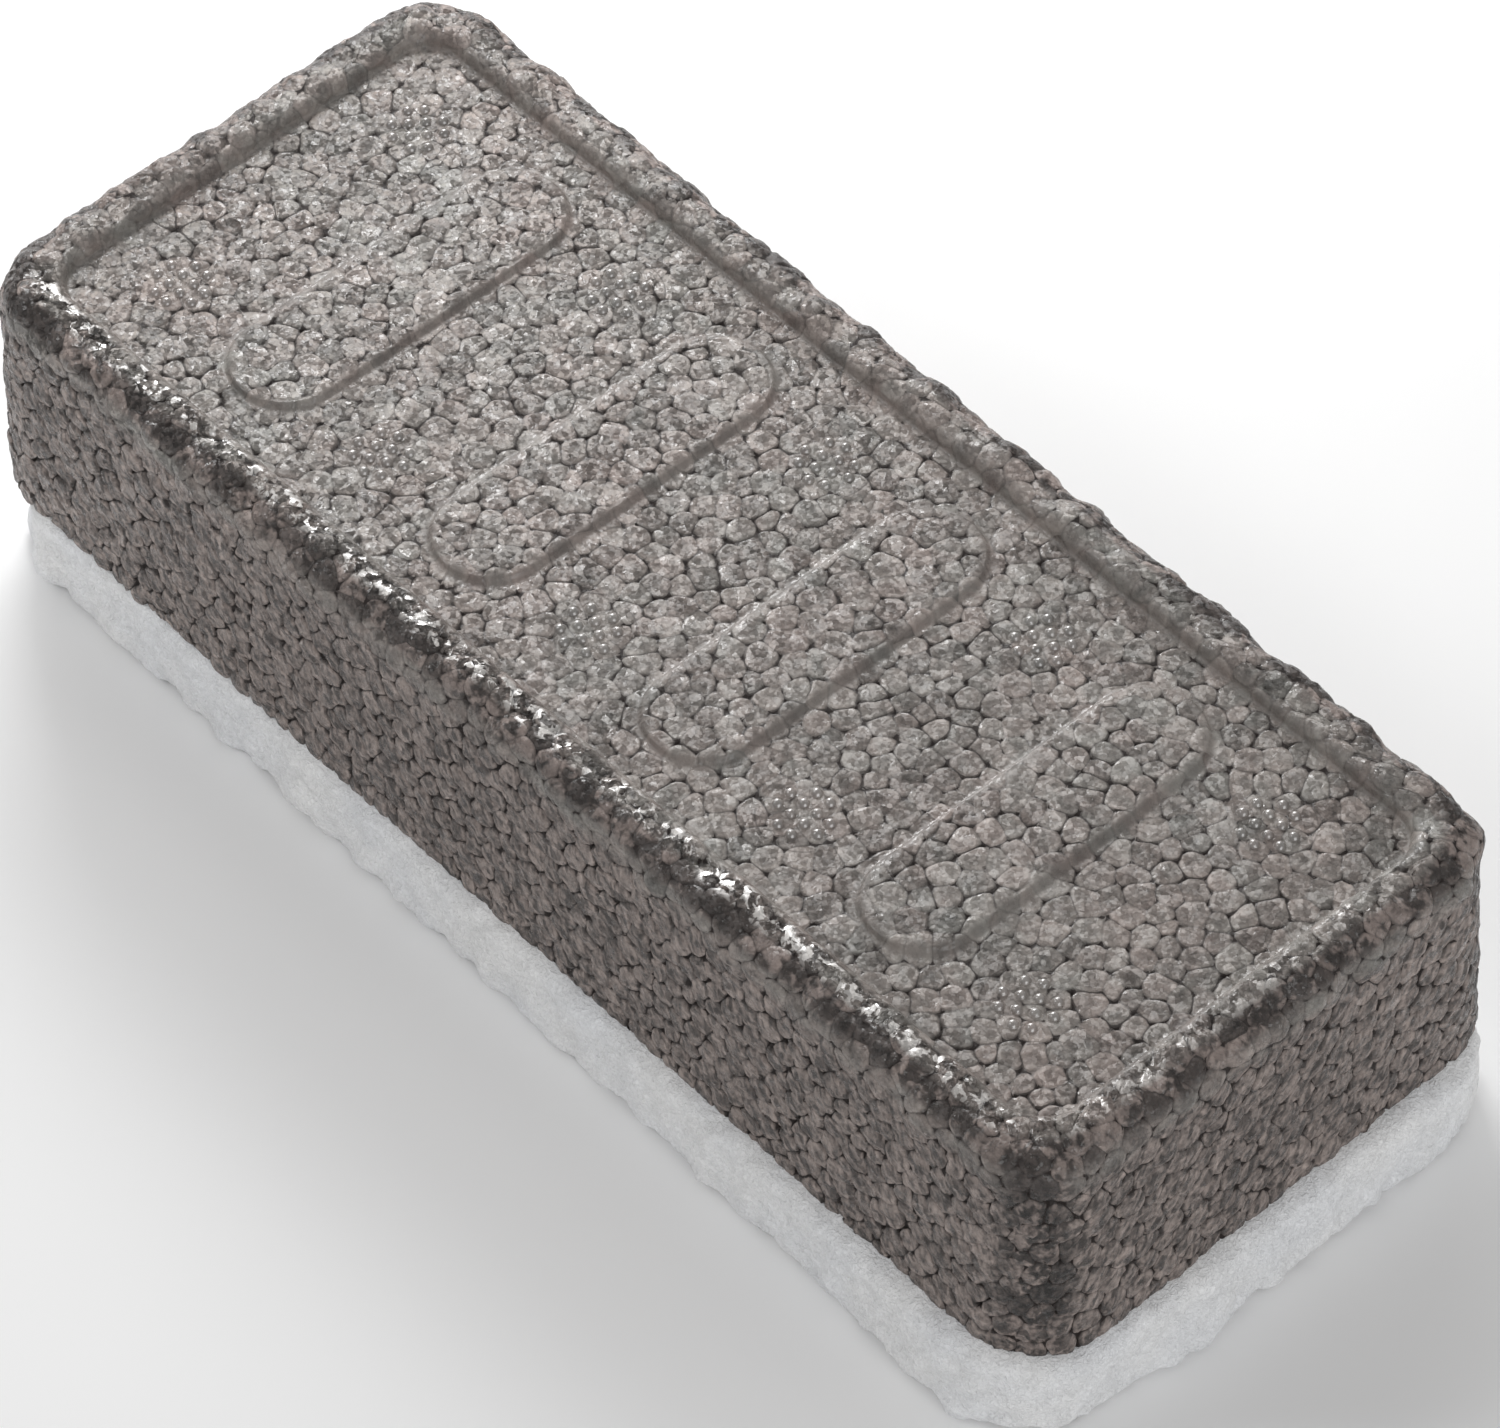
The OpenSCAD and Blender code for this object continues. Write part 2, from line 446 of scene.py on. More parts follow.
def cut_between_beads(points, faces, beads):
    """Cuts the skin along the outlines of the beads. Returns the points, the faces and the
    bead of each face. A face on three beads also gets a point where they meet."""
    where = beads.wobbled(points)
    on = beads.nearest(points)[0][:, 0]

    def share(a, b):
        """How far along from a to b the outline between their two beads is."""
        start = beads.gap(where[a], on[b]) - beads.gap(where[a], on[a])
        end = beads.gap(where[b], on[a]) - beads.gap(where[b], on[b])
        return np.clip(start / np.maximum(start + end, 1e-9), 0.1, 0.9)

    at = on[faces]
    differ = at != np.roll(at, -1, axis=1)
    kinds = differ.sum(1)
    mixed = np.flatnonzero(kinds > 0)
    ends = np.sort(
        np.stack([faces[mixed], np.roll(faces[mixed], -1, axis=1)], 2).reshape(-1, 2), axis=1)
    split = on[ends[:, 0]] != on[ends[:, 1]]
    edges, place = np.unique(ends[split], axis=0, return_inverse=True)
    t = share(edges[:, 0], edges[:, 1])[:, None]
    fresh = points[edges[:, 0]] * (1 - t) + points[edges[:, 1]] * t
    cut_at = np.full(len(ends), -1)
    cut_at[split] = place.ravel() + len(points)
    cut_at = cut_at.reshape(-1, 3)
    points_so_far = len(points) + len(fresh)

    two = np.flatnonzero(kinds[mixed] == 2)
    face, sides = faces[mixed[two]], cut_at[two]
    whole = np.argmin(differ[mixed[two]], axis=1)  # the side whose ends share a bead
    row = np.arange(len(two))
    left, right = face[row, whole], face[row, (whole + 1) % 3]
    tip = face[row, (whole + 2) % 3]
    on_right, on_left = sides[row, (whole + 1) % 3], sides[row, (whole + 2) % 3]
    parts = [
        (np.stack([tip, on_left, on_right], 1), on[tip]),
        (np.stack([on_left, left, right], 1), on[left]),
        (np.stack([on_left, right, on_right], 1), on[left]),
    ]

    three = np.flatnonzero(kinds[mixed] == 3)
    face, sides = faces[mixed[three]], cut_at[three]
    own = on[face]
    first = beads.gap(where[face], own[:, :1]) - beads.gap(where[face], own[:, 1:2])
    second = beads.gap(where[face], own[:, :1]) - beads.gap(where[face], own[:, 2:])
    weight = np.cross(first, second)
    weight /= np.where(np.abs(weight.sum(1)) > 1e-9, weight.sum(1), 1)[:, None]
    weight = np.clip(weight, 0.12, 0.76)
    weight /= weight.sum(1)[:, None]
    meeting = (points[face] * weight[:, :, None]).sum(1)
    hub = points_so_far + np.arange(len(three))
    for k in range(3):
        here, side, before = face[:, k], sides[:, k], sides[:, (k + 2) % 3]
        parts.append((np.stack([here, side, hub], 1), on[here]))
        parts.append((np.stack([before, here, hub], 1), on[here]))

    plain = np.flatnonzero(kinds == 0)
    all_faces = [faces[plain]] + [part for part, _ in parts]
    owners = [at[plain, 0]] + [owner for _, owner in parts]
    return (
        np.concatenate([points, fresh, meeting]),
        np.concatenate(all_faces),
        np.concatenate(owners),
    )


def cut_along(points, faces, owner, fields, level):
    """Cuts the skin where the first field has this level, and fills in the fields there."""
    field = fields[:, 0]
    above = field[faces] > level
    count = above.sum(1)
    odd = np.where(count == 1, np.argmax(above, axis=1),
                   np.where(count == 2, np.argmin(above, axis=1), -1))
    made = []

    def crossing(a, b):
        t = np.clip((level - field[a]) / (field[b] - field[a]), 0.1, 0.9)[:, None]
        made.append(fields[a] * (1 - t) + fields[b] * t)
        return points[a] * (1 - t) + points[b] * t

    points, faces, owner = cut_faces(points, faces, owner, odd, crossing)
    return points, faces, owner, np.concatenate([fields, made[0]])


def moulded_walls(points):
    """1 on the wall of the recess, at its foot and on the walls of the bars, where the
    mould has pressed the skin smooth and dense. It is 0 on open skin."""
    inside = inside_oblong(points[:, :2], PANEL_HALF_LEN, PANEL_HALF_WID, RECESS_R)
    above = smooth_step(PANEL_Z - 0.5, PANEL_Z - 0.1, points[:, 2])
    recess = smooth_step(-1.7, 0.0, inside) * smooth_step(0.35, 0.05, inside)
    bar = smooth_step(0.75, 0.4, np.abs(bar_distance(points[:, :2]))) * (inside > 0)
    return above * np.maximum(recess, bar)


def smoothness(points):
    """1 where the skin has no beads to see: on the moulded walls and on the pips."""
    pip = smooth_step(1.5 * PIP_R, 1.1 * PIP_R, pip_distance(points))
    return np.maximum(moulded_walls(points), pip * (points[:, 2] > PANEL_Z - 0.1))


def vent_distance(points):
    """How far each point is from the middle of the nearest vent, along the panel. Points
    that are not on the panel count as far away."""
    vents = np.array([(x, y) for x, y, _ in vent_middles()])
    apart = np.linalg.norm(points[:, None, :2] - vents, axis=2).min(1)
    return np.where(points[:, 2] > PANEL_Z - 0.3, apart, 50.0)


def near_vent(points):
    """1 round each vent, where the steam has closed the skin, and 0 away from it."""
    return smooth_step(VENT_CALM_R, VENT_CALM_R - 1.0, vent_distance(points))


def crest_crumple_and_glints(points):
    """How crumpled the film is on the crest of the rim, and where glints and the shade between them
    are painted into its colour: most along the near side, a little at the right-hand end, and not
    at all elsewhere."""
    inside = inside_oblong(points[:, :2], PANEL_HALF_LEN, PANEL_HALF_WID, RECESS_R)
    crest = smooth_step(-0.7, -1.3, inside) * smooth_step(-3.2, -2.3, inside)
    side = smooth_step(-19.0, -20.5, points[:, 1]) * smooth_step(61.5, 58.5, np.abs(points[:, 0]))
    end = 0.45 * smooth_step(57.0, 59.0, points[:, 0]) * (points[:, 1] < 15)
    return crest * np.maximum(side, end)


def outer_edge(points):
    """1 on the rounded outer edges and the upright corners, where the colour is warmer and painted
    shade darkens it in patches.
    """
    reach = np.abs(points[:, :2]) - (np.array([GRIP_HALF_LEN, GRIP_HALF_WID]) - CORNER_R)
    corner = smooth_step(1.2, 3.6, reach.min(1))
    inside = inside_oblong(points[:, :2], PANEL_HALF_LEN, PANEL_HALF_WID, RECESS_R)
    brow = smooth_step(-2.4, -3.0, inside) * smooth_step(TOP_Z - 2.2, TOP_Z - 0.9, points[:, 2])
    return np.maximum(corner * (points[:, 2] < TOP_Z - 0.5), brow)


def crisp_film_and_glints(points):
    """1 toward the left-hand end, where the beads' film is most crinkled and the most glints are
    painted into its colour.
    """
    return smooth_step(25, -45, points[:, 0] - 0.3 * points[:, 1])


def rim_share(points):
    """1 on the rim and on the rounded edges, 0 on the panel and low on the walls."""
    inside = inside_oblong(points[:, :2], PANEL_HALF_LEN, PANEL_HALF_WID, RECESS_R)
    return smooth_step(TOP_Z - 5.0, TOP_Z - 2.5, points[:, 2]) * smooth_step(0, -1.0, inside)


def bead_relief(points, fields, beads, owner):
    """How far each point of the skin stands out or sinks in."""
    seam, luck = fields.T
    inside = inside_oblong(points[:, :2], PANEL_HALF_LEN, PANEL_HALF_WID, RECESS_R)
    panel = smooth_step(-0.6, 0.2, inside) * (points[:, 2] > PANEL_Z - 0.4)
    rim = rim_share(points)
    loose = openness(points, luck)
    crown = 0.11 + 0.02 * rim - 0.09 * panel
    dome = crown * (1 - np.clip(1 - seam / 1.15, 0, 1) ** 2)
    deep = 1.0 - 0.5 * panel - 0.4 * rim
    groove = -deep * (0.02 + 0.12 * loose) * smooth_step(0.08 + 0.04 * loose, -0.02, seam)
    pit = -deep * (0.08 + 0.35 * loose) * smooth_step(-0.01, -0.07, seam)
    uneven = beads.pull[owner] / BEAD_UNEVEN
    stand = (0.10 + 0.06 * rim - 0.065 * panel) * uneven * smooth_step(0, 0.4, seam)
    rough = 0.035 * (1 - panel) * swell(points, 1.1, 41)
    slanting = points - 0.6 * (points @ SLANT)[:, None] * SLANT
    rough += 0.035 * (1 - panel) * (1 - rim) * swell(slanting, 0.9, 43)
    lumps = (0.10 * rim + 0.06) * (1 - panel) * swell(points, 5.0, 42)
    calm = 1 - 0.9 * smoothness(points)
    calm = calm * (1 - 0.7 * near_vent(points))
    return (dome + groove + pit + stand + rough + lumps) * calm


def openness(points, luck):
    """How open the crevices are at each point, from 0 to 1. luck is for each crevice."""
    patch = smooth_step(-1.3, 1.6, swell(points, 9.0, 21))
    shut = np.maximum(0.6 * rim_share(points), 0.8 * near_vent(points))
    return np.clip(1.5 * luck ** 2.2 * (0.4 + 1.0 * patch), 0, 1) * (1 - shut)


def new_mesh(name, points, faces):
    """A mesh object from points in millimetres."""
    mesh = bpy.data.meshes.new(name)
    mesh.vertices.add(len(points))
    mesh.vertices.foreach_set("co", (points * MM).astype(np.float32).ravel())
    mesh.loops.add(faces.size)
    mesh.loops.foreach_set("vertex_index", faces.astype(np.int32).ravel())
    mesh.polygons.add(len(faces))
    mesh.polygons.foreach_set("loop_start", np.arange(0, faces.size, faces.shape[1], np.int32))
    mesh.update(calc_edges=True)
    mesh.validate()
    mesh.shade_smooth()
    piece = bpy.data.objects.new(name, mesh)
    bpy.context.scene.collection.objects.link(piece)
    return piece


def note(mesh, name, values, domain="POINT"):
    """Stores one number per point or face for the material to read."""
    mesh.attributes.new(name, "FLOAT", domain).data.foreach_set(
        "value", np.asarray(values, np.float32))


def chart_faces(mesh, points, faces):
    """Gives the grip its own flat charts: the top, the four walls and a small base."""
    middle = points[faces].mean(1)
    a, b, c = (points[faces[:, k]] for k in range(3))
    facing = np.cross(b - a, c - a)
    reach = np.abs(middle[:, :2]) - (np.array([GRIP_HALF_LEN, GRIP_HALF_WID]) - CORNER_R)
    edge_z = TOP_Z - EDGE_R * (1 - math.sqrt(0.5))
    wall = middle[:, 2] < edge_z
    wall &= inside_oblong(middle[:, :2], PANEL_HALF_LEN, PANEL_HALF_WID, RECESS_R) < -1.5
    base = (middle[:, 2] < BASE_Z + 0.3) & (facing[:, 2] < -0.5 * np.linalg.norm(facing, axis=1))
    on_end = wall & (reach[:, 0] > reach[:, 1])
    on_side = wall & ~on_end
    wide, deep, high, gap = 2 * GRIP_HALF_LEN, 2 * GRIP_HALF_WID, TOP_Z - BASE_Z, 2.0
    x, y, z = (points[faces][:, :, k] for k in range(3))
    u, v = x + wide / 2, y + deep / 2
    rows = [0, deep + gap, deep + high + 2 * gap, deep + 2 * high + 3 * gap]
    for near, row in ((True, rows[1]), (False, rows[2])):
        pick = on_side & ((middle[:, 1] < 0) == near)
        v[pick] = row + z[pick] - BASE_Z
    for near, start in ((True, 0), (False, deep + gap)):
        pick = on_end & ((middle[:, 0] > 0) == near)
        u[pick] = start + y[pick] + deep / 2
        v[pick] = rows[3] + z[pick] - BASE_Z
    u[base] = 2 * (deep + gap) + 0.1 * (x[base] + wide / 2)
    v[base] = rows[3] + 0.1 * (y[base] + deep / 2)
    span = rows[3] + high + 2 * gap
    layer = mesh.uv_layers.new(name="OFBake")
    placed = (np.stack([u, v], 2).reshape(-1, 2) + gap / 2) / span
    layer.uv.foreach_set("vector", placed.astype(np.float32).ravel())


def make_grip():
    points, faces = grip_skin()
    beads = Beads(points, faces)
    points, faces, owner = cut_between_beads(points, faces, beads)
    fields = beads.seams(points)
    for line in CREVICE_LINES:
        points, faces, owner, fields = cut_along(points, faces, owner, fields, line)
    point_bead = np.zeros(len(points), int)
    for k in range(3):
        point_bead[faces[:, k]] = owner
    relief = bead_relief(points, fields, beads, point_bead)
    shaped = points + normals_of(points, faces) * relief[:, None]
    low = points[:, 2] < BASE_Z + 1e-6
    sag = 0.5 + 0.5 * beads.pull[point_bead[low]] / BEAD_UNEVEN
    shaped[low, 2] = BASE_Z - sag * (1 - np.clip(1 - fields[low, 0] / 0.8, 0, 1) ** 2)
    grip = new_mesh("bead_foam_grip", shaped, faces)
    rng = np.random.default_rng(5)
    note(grip.data, "seam", fields[:, 0])
    note(grip.data, "loose", openness(points, fields[:, 1]))
    note(grip.data, "smooth", smoothness(points))
    note(grip.data, "rim", rim_share(points))
    note(grip.data, "crest", crest_crumple_and_glints(points))
    note(grip.data, "edge", outer_edge(points))
    note(grip.data, "crisp", crisp_film_and_glints(points))
    note(grip.data, "flank", smooth_step(TOP_Z - 2.0, TOP_Z - 4.0, points[:, 2]))
    note(grip.data, "vent_ring", vent_distance(points))
    on_panel = points[:, 2] > PANEL_Z - 0.1
    note(grip.data, "pip_ring", np.where(on_panel, pip_distance(points), 50.0))
    note(grip.data, "warmth", rng.random(len(beads.middle))[owner], "FACE")
    note(grip.data, "shade", rng.random(len(beads.middle))[owner], "FACE")
    chart_faces(grip.data, points, faces)
    return grip


# ================================================================================ the felt
FELT_STEP = 0.5
FELT_R = 9.0
FELT_SPREAD = 1.03  # how much wider than its design size the soft pad has spread
FELT_SHIFT = (1.8, -0.4)  # how far the pad was stuck on out of line with the grip
FELT_TURN = math.radians(-0.9)


def felt_levels():
    """The felt's edge, from its top face round to its underside."""
    high = FELT_HIGH[2] + 0.28  # the nap rises a little round the adhesive film
    levels = [(-3.4, high), (-2.2, high - 0.02), (-1.2, high - 0.2), (-0.6, high - 0.6)]
    for z in np.linspace(high - 1.1, 0.75, 14):
        levels.append((-0.25, z))
    levels += [(-0.35, 0.4), (-0.7, 0.12), (-1.2, 0.03), (-2.4, 0.03)]
    return levels


def make_felt():
    half_len, half_wid = FELT_HIGH[0], FELT_HIGH[1]
    steps = steps_for(half_len, half_wid, FELT_R, FELT_STEP)
    rings = []
    for grow, z in felt_levels()[::-1]:
        flat = round_oblong(half_len + grow, half_wid + grow, FELT_R + grow, steps)
        rings.append(np.c_[flat, np.full(len(flat), z)])
    points, faces = lofted(rings)
    count = len(rings[0])
    for ring, start, turn in ((rings[0], 0, -1), (rings[-1], len(points) - count, 1)):
        grid = lattice(half_len, half_wid, 1.1)
        edge_grow = felt_levels()[-1][0] if turn < 0 else felt_levels()[0][0]
        depth = inside_oblong(
            grid, half_len + edge_grow, half_wid + edge_grow, FELT_R + edge_grow)
        grid = grid[depth > 0.5]
        fill = sheet_in(ring[:, :2], grid)[:, ::turn]
        fill = np.where(fill < count, fill + start, fill - count + len(points))
        points = np.concatenate([points, np.c_[grid, np.full(len(grid), ring[0, 2])]])
        faces = np.concatenate([faces, fill])
    normals = normals_of(points, faces)
    side = smooth_step(2.6, 0.6, inside_oblong(points[:, :2], half_len, half_wid, FELT_R))
    low = smooth_step(6.0, 0.5, points[:, 2])
    drawn = points * (1, 1, 0.3)
    wave = 0.30 * swell(drawn, 13, 31) + 0.16 * swell(drawn, 4.5, 32)
    lump = 0.10 * swell(points, 2.2, 33) + 0.06 * swell(points, 1.1, 34)
    notch = np.maximum(swell(points * (1, 1, 0.1), 9, 37) - 1.7, 0)
    out = side * (wave * (0.4 + 0.6 * low) + lump - 0.9 * notch * low + 0.25 * low - 0.1)
    shaped = points + normals * (1, 1, 0) * out[:, None]
    ragged = np.clip(0.25 + 0.3 * swell(drawn, 6, 38) + 0.15 * swell(drawn, 1.6, 39), 0, 1.2)
    shaped[:, 2] += side * smooth_step(3.0, 0.0, points[:, 2]) * ragged
    inner = (1 - side) * (points[:, 2] < 1)
    shaped[:, 2] += inner * (0.12 + 0.06 * swell(points, 4, 35))
    nap = points[:, 2] > FELT_HIGH[2]
    shaped[nap, 2] += 0.10 * swell(points[nap], 1.6, 36)
    shaped[:, 2] = np.clip(shaped[:, 2], 0.0, FELT_HIGH[2] + 0.45)
    turn = np.array([[math.cos(FELT_TURN), math.sin(FELT_TURN)],
                     [-math.sin(FELT_TURN), math.cos(FELT_TURN)]])
    shaped[:, :2] = (shaped[:, :2] * (1, FELT_SPREAD)) @ turn + FELT_SHIFT
    felt = new_mesh("felt_wiping_pad", shaped, faces)
    return felt


# ============================================================================== materials
class Socket:
    """A socket of a node, or a plain number, that can be used in sums."""

    def __init__(self, finish, link):
        self.finish, self.link = finish, link

    def sum_with(self, operation, *values):
        return self.finish.node("ShaderNodeMath", {"operation": operation},
                                dict(enumerate((self, *values))))

    def __add__(self, other):
        return self.sum_with("ADD", other)

    __radd__ = __add__

    def __mul__(self, other):
        return self.sum_with("MULTIPLY", other)

    __rmul__ = __mul__

    def __sub__(self, other):
        return self.sum_with("SUBTRACT", other)

    def __rsub__(self, other):
        return self * -1 + other


class Finish:
    """A material being written: its nodes, and its one surface shader."""

    def __init__(self, name, **constants):
        self.material = bpy.data.materials.new(name)
        self.material.use_nodes = True
        self.tree = self.material.node_tree
        self.shader = self.tree.nodes["Principled BSDF"]
        for socket, value in constants.items():
            self.shader.inputs[socket.replace("_", " ")].default_value = value

    def node(self, kind, settings=None, inputs=None, output=0):
        """Adds a node with these settings, then fills its sockets with values or links."""
        made = self.tree.nodes.new(kind)
        for key, value in (settings or {}).items():
            setattr(made, key, value)
        for key, value in (inputs or {}).items():
            self.plug(made.inputs[key], value)
        return Socket(self, made.outputs[output])

    def plug(self, socket, value):
        if isinstance(value, Socket):
            self.tree.links.new(value.link, socket)
        else:
            socket.default_value = value

    def feed(self, socket, value):
        self.plug(self.shader.inputs[socket], value)

    def noted(self, name):
        """A number that the mesh carries for each point or face."""
        return self.node("ShaderNodeAttribute", {"attribute_name": name}, output="Fac")

    def place(self):
        """Where a spot of the piece is, in millimetres."""
        spot = self.node("ShaderNodeTexCoord", output="Object")
        return self.node("ShaderNodeVectorMath", {"operation": "SCALE"},
                         {0: spot, "Scale": 1 / MM})

    def drawn_place(self, along, by):
        """The same, squeezed along one direction, so that what is laid out on it comes out
        this many times longer that way."""
        spot = self.place()
        part = self.node("ShaderNodeVectorMath", {"operation": "PROJECT"}, {0: spot, 1: along})
        squeeze = (1 / by - 1,) * 3
        return self.node("ShaderNodeVectorMath", {"operation": "MULTIPLY_ADD"},
                         {0: part, 1: squeeze, 2: spot})

    def cloud(self, size, detail=2.0, distortion=0.0, roughness=0.5, place=None):
        """Noise with features of about this size in millimetres."""
        return self.node("ShaderNodeTexNoise", None, {
            "Vector": place or self.place(), "Scale": 1 / size, "Detail": detail,
            "Roughness": roughness, "Distortion": distortion,
        })

    def facets(self, size):
        """A crumpled film of flat facets about this size in millimetres. Returns the
        height of the facets in millimetres, each tilted its own way, and a number from 0
        to 1 for each facet."""
        spot = self.place()
        cells = self.node("ShaderNodeTexVoronoi", None, {
            "Vector": spot, "Scale": 1 / size, "Randomness": 1.0,
        }, output="Position")
        tilt = Socket(self, cells.link.node.outputs["Color"])
        lean = self.node("ShaderNodeVectorMath", {"operation": "SUBTRACT"},
                         {0: tilt, 1: (0.5, 0.5, 0.5)})
        away = self.node("ShaderNodeVectorMath", {"operation": "SUBTRACT"}, {0: spot, 1: cells})
        height = self.node("ShaderNodeVectorMath", {"operation": "DOT_PRODUCT"},
                           {0: lean, 1: away}, output="Value")
        return height, self.node("ShaderNodeSeparateColor", None, {0: tilt})

    def largest(self, first, second):
        return self.node("ShaderNodeMath", {"operation": "MAXIMUM"}, {0: first, 1: second})

    def ramp(self, value, low, high, start=0.0, end=1.0):
        """start where the value is at most low, end where it is at least high."""
        return self.node("ShaderNodeMapRange", {"interpolation_type": "SMOOTHSTEP"}, {
            0: value, 1: low, 2: high, 3: start, 4: end,
        })

    def blend(self, factor, first, second, kind="MIX"):
        """A colour between two others, or their product where kind is MULTIPLY."""
        return self.node("ShaderNodeMix", {"data_type": "RGBA", "blend_type": kind}, {
            0: factor, 6: first, 7: second,
        }, output=2)

    def tinted(self, colour, amount):
        """A colour made lighter or darker by a number."""
        return self.node("ShaderNodeVectorMath", {"operation": "SCALE"},
                         {0: colour, "Scale": amount})

    def bump(self, height, depth):
        """Presses a height from 0 to 1 into the surface, this many millimetres deep."""
        self.feed("Normal", self.node("ShaderNodeBump", None, {
            "Height": height, "Distance": depth * MM, "Strength": 1.0,
        }))


WARM_FOAM = (0.256, 0.208, 0.188, 1)
COOL_FOAM = (0.209, 0.204, 0.188, 1)
CREVICE_BROWN = (0.020, 0.013, 0.011, 1)
# Pale colour for the flakes on the crest, which are partly painted glints
PALE_GLINT = (0.62, 0.59, 0.56, 1)


def bead_foam_finish():
    """Dark grey foam: each bead has its own tone and a crinkled, slightly shiny film."""
    f = Finish("bead_foam", IOR=1.5, Coat_IOR=2.2, Coat_Roughness=0.2)
    seam, loose, smooth = f.noted("seam"), f.noted("loose"), f.noted("smooth")
    rim, ring = f.noted("rim"), f.noted("vent_ring")
    flank, crest, edge = f.noted("flank"), f.noted("crest"), f.noted("edge")
    crisp, shade = f.noted("crisp"), f.noted("shade")

    # The film's soft folds and flat facets, and the slanting streaks and strokes on the walls
    fold = f.cloud(0.9, detail=2.0, distortion=0.5, roughness=0.55)
    grain = f.cloud(0.30, detail=1.0, distortion=0.4)
    patch = f.cloud(3.0, detail=2.0, distortion=0.8)
    wide = f.cloud(16, detail=2.0)
    tilt, speck = f.facets(0.75)
    fine_tilt, fine_speck = f.facets(0.33)
    drawn = f.drawn_place(tuple(SLANT), 3.2)
    streak = f.cloud(0.5, detail=2.0, distortion=0.3, place=drawn)
    stroke = f.cloud(0.8, detail=1.0, distortion=0.4, place=drawn)

    # Warm or cool, bead by bead and in wide patches. The walls and edges are warm
    tint = f.noted("warmth") * 0.35 + f.ramp(patch, 0.3, 0.7) * 0.35 + f.ramp(wide, 0.3, 0.7) * 0.3
    tint = f.largest(tint, f.largest(flank * 0.9, edge))
    colour = f.blend(tint, COOL_FOAM, WARM_FOAM)

    # Light or dark: each bead's own shade and its film, which is calm on moulded walls
    film = (fold - 0.5) * 0.85 + (grain - 0.5) * 0.6
    # Pale flecks on the small facets, most toward the left-hand end: partly the film's own tone,
    # partly painted glints
    film = film + (speck - 0.5) * 0.3 + f.ramp(fine_speck, 0.62, 0.95, -0.06, 0.35) * (crisp + 0.4)
    # On the walls, light and dark slanting streaks and short dark strokes: partly the film's own
    # texture, partly painted shading of its crinkles lit from above
    film = (film + (streak - 0.5) * flank * 3.2) * (1 - smooth * 0.7)
    light = (shade * 0.46 + 0.62 + film) * (1 - flank * f.ramp(stroke, 0.56, 0.63, 0, 0.62))

    # A light lip round each bead, and painted shade: the walls darker all over, and dark patches on
    # the outer edges
    lip = f.ramp(seam, 0.05, 0.16) * f.ramp(seam, 0.60, 0.20)
    # The walls are made 18 per cent darker all over: painted shade
    light = f.largest(light + lip * 0.18, 0.22) * (1 - flank * 0.18)
    # Painted shade: dark patches, and dark beads, on the rounded outer edges and the upright
    # corners
    edge_shade_patch = f.ramp(patch * 0.6 + fold * 0.4, 0.44, 0.54, 0.8, 0.15)
    edge_shade = f.largest(edge_shade_patch, f.ramp(shade, 0.40, 0.25, 0, 0.7))
    light = light * (1 - edge * edge_shade)

    # Pale flakes along the crest in clusters, partly torn film and partly painted glints, with
    # painted shade in the dark gaps between them
    glint_cluster = f.ramp(patch, 0.42, 0.55)
    glint_flake = crest * f.ramp(fold + speck * 0.3 + glint_cluster * 0.12, 0.79, 0.85)
    light = light * (1 - crest * glint_cluster * f.ramp(fold, 0.55, 0.42) * 0.6)
    colour = f.blend(glint_flake, f.tinted(colour, light), PALE_GLINT)

    # Crevices between the beads, voids where three meet, and the ring round each vent
    line = f.ramp(seam - loose * 0.03, 0.055, 0.01) * (loose * 0.6 + 0.2) * (1 - flank * 0.4)
    void = f.ramp(seam - flank * loose * 0.06, -0.004, -0.03) * f.ramp(loose, 0.01, 0.08)
    dark = f.largest(line, void) * (1 - smooth)
    witness = f.ramp(ring, 3.72, 3.84) * f.ramp(ring, 3.98, 3.86)
    dark = f.largest(dark, witness * f.ramp(patch, 0.42, 0.6) * 0.5)
    f.feed("Base Color", f.blend(dark, colour, CREVICE_BROWN))

    f.feed("Roughness", f.ramp(fine_speck + fold, 0.6, 1.3, 0.2, 0.5) + dark * 0.3)
    on_pip = f.ramp(f.noted("pip_ring"), 0.50, 0.42)
    f.feed("Coat Weight", f.largest(on_pip, glint_flake))
    skin = (1 - smooth * 0.8) * (rim * 0.1 + crest * 1.5 + crisp * 0.08 + 0.36)
    f.bump((fold * 0.3 + tilt * 0.9 + fine_tilt * 0.8) * skin, 1.0)
    return f.material


def felt_finish():
    """Thick white felt: soft matted tufts with fine strands lying every way."""
    f = Finish("white_felt", Roughness=0.95, Sheen_Weight=0.35, Sheen_Roughness=0.5)
    tuft = f.cloud(2.2, detail=3.0, distortion=0.6)
    strand = f.cloud(0.30, detail=2.0, distortion=1.0)
    mat = f.cloud(9, detail=2.0)
    light = (tuft - 0.5) * 0.28 + (strand - 0.5) * 0.50 + 1.01
    colour = f.blend(f.ramp(mat, 0.3, 0.7), (0.84, 0.85, 0.87, 1), (0.88, 0.88, 0.88, 1))
    f.feed("Base Color", f.tinted(colour, light))
    f.bump(strand * 0.5 + tuft * 0.9, 0.40)
    return f.material


def hot_melt_finish():
    """Cream hot-melt film, uneven and glossy."""
    f = Finish("hot_melt_film", Subsurface_Weight=0.2)
    flow = f.cloud(2.5, detail=2.0, distortion=1.0)
    f.feed("Base Color", f.blend(flow, (0.62, 0.55, 0.40, 1), (0.80, 0.75, 0.62, 1)))
    f.feed("Roughness", f.ramp(flow, 0.3, 0.7, 0.25, 0.5))
    f.bump(flow, 0.1)
    return f.material


def floor_finish():
    """Plain pale paper."""
    f = Finish("pale_floor", Roughness=0.9)
    f.feed("Base Color", f.blend(f.cloud(40), (0.94, 0.94, 0.94, 1), (0.96, 0.96, 0.96, 1)))
    return f.material


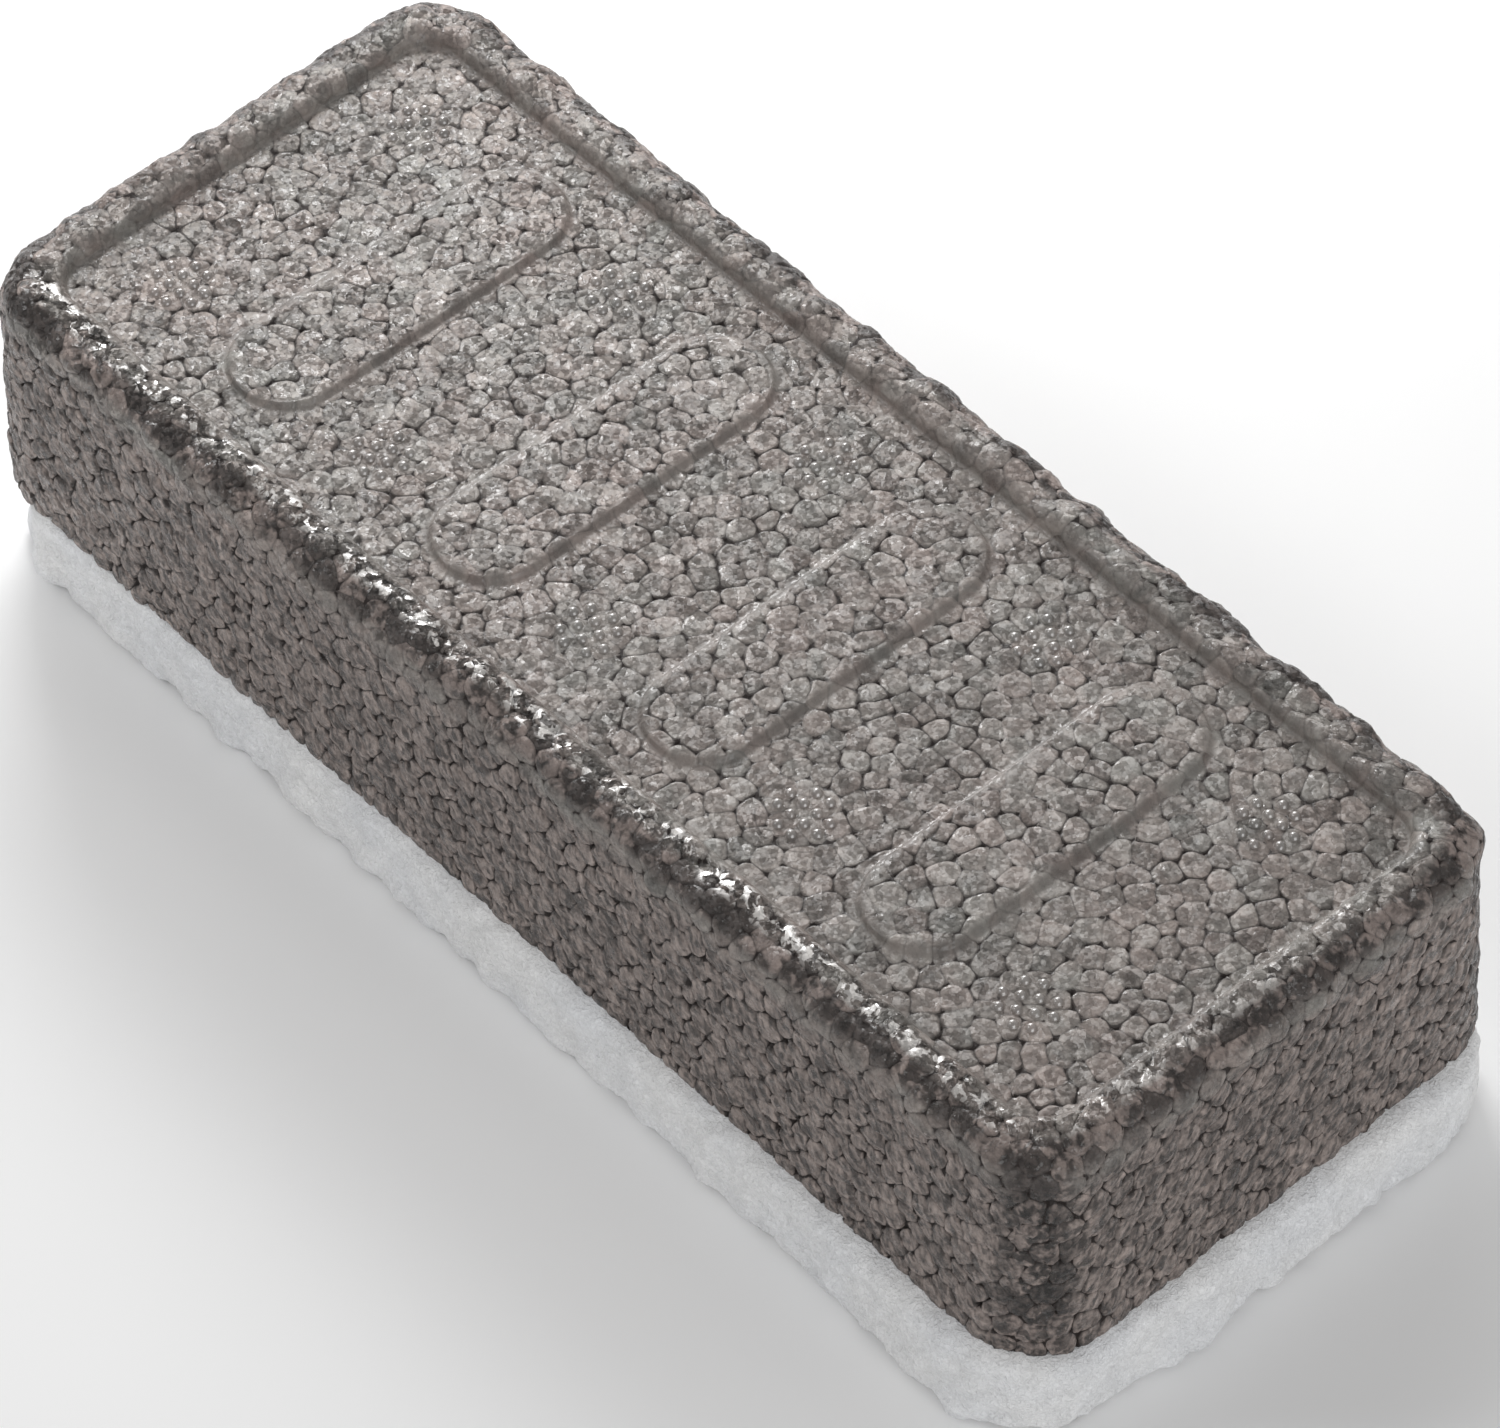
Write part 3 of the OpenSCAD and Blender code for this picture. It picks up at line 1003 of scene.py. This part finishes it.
# ================================================================================== stage
FLOOR_REACH = 4000.0
FLOOR_Z = -0.03  # a hair below the felt, so that no tuft shows through the floor


def make_floor():
    corners = np.array([(-1, -1), (1, -1), (1, 1), (-1, 1)]) * FLOOR_REACH
    corners = np.c_[corners, np.full(4, FLOOR_Z)]
    floor = new_mesh("floor", corners, np.array([[0, 1, 2, 3]]))
    floor.data.materials.append(floor_finish())


def soft_box(name, azimuth, elevation, distance, size, power):
    """A rectangular lamp that looks at the block. Azimuth 0 is in front, at -Y."""
    a, e = math.radians(azimuth), math.radians(elevation)
    back = Vector((math.sin(a) * math.cos(e), -math.cos(a) * math.cos(e), math.sin(e)))
    lamp = bpy.data.lights.new(name, "AREA")
    lamp.shape = "RECTANGLE"
    lamp.size, lamp.size_y = size
    lamp.energy = power
    holder = bpy.data.objects.new(name, lamp)
    holder.location = back * distance + Vector((0, 0, 0.015))
    holder.rotation_mode = "QUATERNION"
    holder.rotation_quaternion = (-back).to_track_quat("-Z", "Y")
    bpy.context.scene.collection.objects.link(holder)


def make_lights():
    world = bpy.data.worlds.new("studio")
    world.use_nodes = True
    world.node_tree.nodes["Background"].inputs["Color"].default_value = (1, 1, 1, 1)
    world.node_tree.nodes["Background"].inputs["Strength"].default_value = 0.42
    bpy.context.scene.world = world
    soft_box("back_box", -122, 36, 0.29, (0.12, 0.08), 0.44)
    soft_box("back_strip", -120, 15, 0.8, (0.9, 0.36), 2.4)
    soft_box("high_box", -112, 58, 0.4, (0.09, 0.09), 0.12)
    soft_box("left_box", -45, 40, 0.9, (0.2, 0.2), 0.9)
    soft_box("right_fill", 75, 24, 0.9, (0.7, 0.4), 1.9)


# The camera: where it stands round the grip's base, and how it is turned
CAMERA_AZIMUTH, CAMERA_ELEVATION, CAMERA_ROLL = 48.64, 50.81, -1.14
CAMERA_DISTANCE = 647.5
CAMERA_SIDESTEP, CAMERA_RISE = 2.30, 0.93
CAMERA_LENS = 188.7


def make_camera():
    a, e = math.radians(CAMERA_AZIMUTH), math.radians(CAMERA_ELEVATION)
    back = Vector((math.sin(a) * math.cos(e), -math.cos(a) * math.cos(e), math.sin(e)))
    level = Vector((math.cos(a), math.sin(a), 0))
    turn = Matrix.Rotation(math.radians(CAMERA_ROLL), 3, back)
    right = turn @ level
    up = turn @ back.cross(level)
    lens = bpy.data.cameras.new("camera")
    lens.lens, lens.sensor_width = CAMERA_LENS, 36
    lens.clip_start, lens.clip_end = 0.05, 20
    camera = bpy.data.objects.new("camera", lens)
    spot = back * CAMERA_DISTANCE + right * CAMERA_SIDESTEP + up * CAMERA_RISE
    spot = (spot + Vector((0, 0, BASE_Z))) * MM
    camera.matrix_world = Matrix.Translation(spot) @ Matrix((right, up, back)).transposed().to_4x4()
    bpy.context.scene.collection.objects.link(camera)
    bpy.context.scene.camera = camera


# ================================================================================ assembly
make_camera()
make_lights()
make_floor()
bpy.context.scene.view_settings.view_transform = "Standard"

grip = make_grip()
grip.data.materials.append(bead_foam_finish())
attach(grip, "root")
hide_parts("foam_body")

felt = make_felt()
felt.data.materials.append(felt_finish())
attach(felt, "root")
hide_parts("felt_pad")

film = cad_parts["adhesive_layer"]
film.material_slots[0].material = hot_melt_finish()
